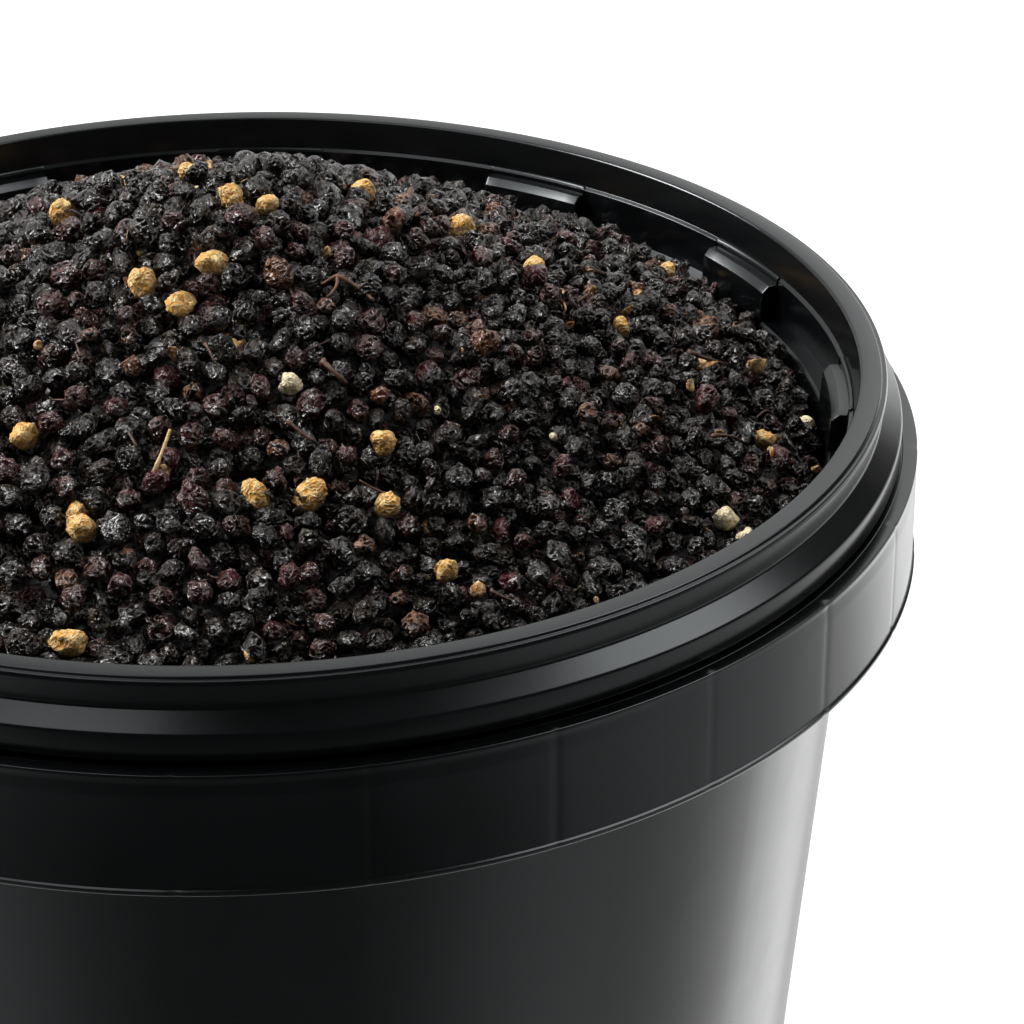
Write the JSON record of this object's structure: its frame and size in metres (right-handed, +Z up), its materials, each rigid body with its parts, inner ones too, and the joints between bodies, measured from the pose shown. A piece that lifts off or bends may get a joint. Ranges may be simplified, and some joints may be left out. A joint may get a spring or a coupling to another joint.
{
  "type": "pail of dried elderberries",
  "caption": "Round tapered black plastic pail, open at the top, heaped above its rim with loose dried elderberries.",
  "frame": {"origin": "on the ground under the middle of the pail", "axes": "+Z up along the pail's axis; -Y is the side towards the viewer"},
  "size_m": [0.2006, 0.2006, 0.1995],
  "materials": {
    "pail_plastic": "satin",
    "berry_skin": "satin"
  },
  "bodies": {
    "root": {"pail": "pail_plastic", "elderberries": "berry_skin"}
  },
  "joints": []
}
